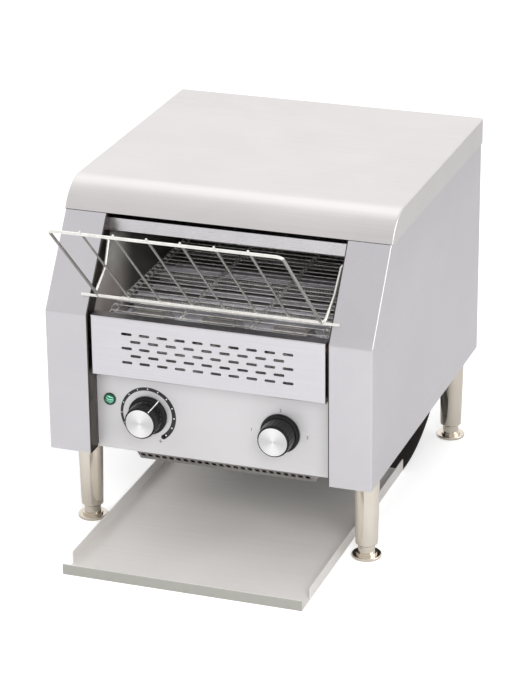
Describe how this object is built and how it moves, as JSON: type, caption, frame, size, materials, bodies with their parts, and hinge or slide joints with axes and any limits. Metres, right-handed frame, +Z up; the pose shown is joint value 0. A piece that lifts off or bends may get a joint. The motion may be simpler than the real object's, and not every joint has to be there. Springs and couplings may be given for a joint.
{
  "type": "conveyor toaster",
  "caption": "Counter-top conveyor toaster: folded steel casing, sloping wire feed rack, wire belt through a heated tunnel, toast tray below, dial and switch on the front.",
  "frame": {"origin": "middle of the bounding box, at the counter surface that the feet stand on", "axes": "+Z up, -Y towards the front where the controls and the feed rack are, +X to the right as seen from the front"},
  "size_m": [0.368, 0.553, 0.406],
  "materials": {
    "stainless": "satin",
    "inner_sheet": "dull",
    "chamber_sheet": "heat-tinted satin",
    "reflector": "bright",
    "dark_sheet": "satin black",
    "fasteners": "bright",
    "knob": "gloss black",
    "knob_inlay": "turned face",
    "shaft": "ground",
    "regulator": "matt",
    "switch_body": "matt",
    "lamp_body": "gloss dark green",
    "lamp_lens": "clear green",
    "black_plastic": "matt black",
    "terminal": "matt",
    "quartz": "clear",
    "coil": "oxidised",
    "ceramic": "unglazed white",
    "wire": "drawn wire",
    "sprocket": "machined",
    "bush": "sintered bronze",
    "motor": "grey paint",
    "rack_wire": "bright plated",
    "leg": "nickel plated",
    "foot": "nickel plated"
  },
  "bodies": {
    "frame": {"right_side_panel": "stainless", "left_side_panel": "stainless", "top_cover": "stainless", "rear_panel": "stainless", "control_panel": "stainless", "air_intake": "stainless", "rear_panel_screws": "fasteners", "cover_screws": "fasteners", "leg_nuts": "fasteners", "base_plate": "inner_sheet", "compartment_shield": "inner_sheet", "right_chamber_wall": "chamber_sheet", "left_chamber_wall": "chamber_sheet", "upper_reflector": "reflector", "lower_reflector": "reflector", "rear_chute": "dark_sheet", "speed_regulator": "regulator", "mode_switch": "switch_body", "lamp_housing": "lamp_body", "lamp_lens": "lamp_lens", "fan_housing": "black_plastic", "cable_gland": "black_plastic", "terminal_block": "terminal", "upper_heating_tubes": "quartz", "lower_heating_tubes": "quartz", "upper_heating_coils": "coil", "lower_heating_coils": "coil", "tube_end_caps": "ceramic", "wire_belt": "wire", "drive_chain": "sprocket", "shaft_bushes": "bush", "gear_motor": "motor", "front_left_leg": "leg", "front_right_leg": "leg", "rear_left_leg": "leg", "rear_right_leg": "leg"},
    "speed_control": {"speed_knob": "knob", "speed_knob_inlay": "knob_inlay", "speed_spindle": "shaft"},
    "mode_control": {"mode_knob": "knob", "mode_knob_inlay": "knob_inlay", "mode_spindle": "shaft"},
    "rack": {"feed_rack": "rack_wire"},
    "crumb_drawer": {"vent_panel": "stainless", "crumb_pan": "stainless"},
    "tray": {"toast_tray": "stainless"},
    "front_roller": {"front_shaft": "shaft", "front_belt_sprockets": "sprocket", "driven_sprocket": "sprocket"},
    "rear_roller": {"rear_shaft": "shaft", "rear_belt_sprockets": "sprocket"},
    "motor_drive": {"motor_shaft": "shaft", "motor_sprocket": "sprocket"},
    "fan": {"fan_rotor": "black_plastic"},
    "front_left_levelling_foot": {"front_left_foot": "foot"},
    "front_right_levelling_foot": {"front_right_foot": "foot"},
    "rear_left_levelling_foot": {"rear_left_foot": "foot"},
    "rear_right_levelling_foot": {"rear_right_foot": "foot"}
  },
  "joints": [
    {"name": "speed_dial", "type": "hinge", "parent": "frame", "child": "speed_control", "pos_m": [-0.0753, -0.14055, 0.14963], "axis": [0, 1, 0], "range_deg": [-172, 102]},
    {"name": "mode_dial", "type": "hinge", "parent": "frame", "child": "mode_control", "pos_m": [0.0753, -0.14055, 0.14963], "axis": [0, 1, 0], "range_deg": [0, 180]},
    {"name": "rack_swing", "type": "hinge", "parent": "frame", "child": "rack", "pos_m": [0, -0.10268, 0.332], "axis": [-1, 0, 0], "range_deg": [0, 60]},
    {"name": "crumb_drawer_slide", "type": "slide", "parent": "frame", "child": "crumb_drawer", "axis": [0, -1, 0], "range_m": [0, 0.25]},
    {"name": "toast_tray_slide", "type": "slide", "parent": "frame", "child": "tray", "axis": [0, -1, 0], "range_m": [0, 0.15]},
    {"name": "front_roller_spin", "type": "hinge", "parent": "frame", "child": "front_roller", "pos_m": [0, -0.11405, 0.23683], "axis": [-1, 0, 0], "continuous": true},
    {"name": "rear_roller_spin", "type": "hinge", "parent": "frame", "child": "rear_roller", "pos_m": [0, 0.17715, 0.23683], "axis": [-1, 0, 0], "continuous": true},
    {"name": "motor_drive_spin", "type": "hinge", "parent": "frame", "child": "motor_drive", "pos_m": [0.15, -0.06055, 0.16584], "axis": [-1, 0, 0], "continuous": true},
    {"name": "fan_spin", "type": "hinge", "parent": "frame", "child": "fan", "pos_m": [0, -0.09255, 0.1065], "axis": [0, 0, 1], "continuous": true},
    {"name": "front_left_foot_height", "type": "slide", "parent": "frame", "child": "front_left_levelling_foot", "axis": [0, 0, -1], "range_m": [0, 0.01]},
    {"name": "front_right_foot_height", "type": "slide", "parent": "frame", "child": "front_right_levelling_foot", "axis": [0, 0, -1], "range_m": [0, 0.01]},
    {"name": "rear_left_foot_height", "type": "slide", "parent": "frame", "child": "rear_left_levelling_foot", "axis": [0, 0, -1], "range_m": [0, 0.01]},
    {"name": "rear_right_foot_height", "type": "slide", "parent": "frame", "child": "rear_right_levelling_foot", "axis": [0, 0, -1], "range_m": [0, 0.01]}
  ],
  "couplings": [
    {"joint": "rear_roller_spin", "follows": "front_roller_spin", "ratio": 1},
    {"joint": "motor_drive_spin", "follows": "front_roller_spin", "ratio": 1}
  ]
}
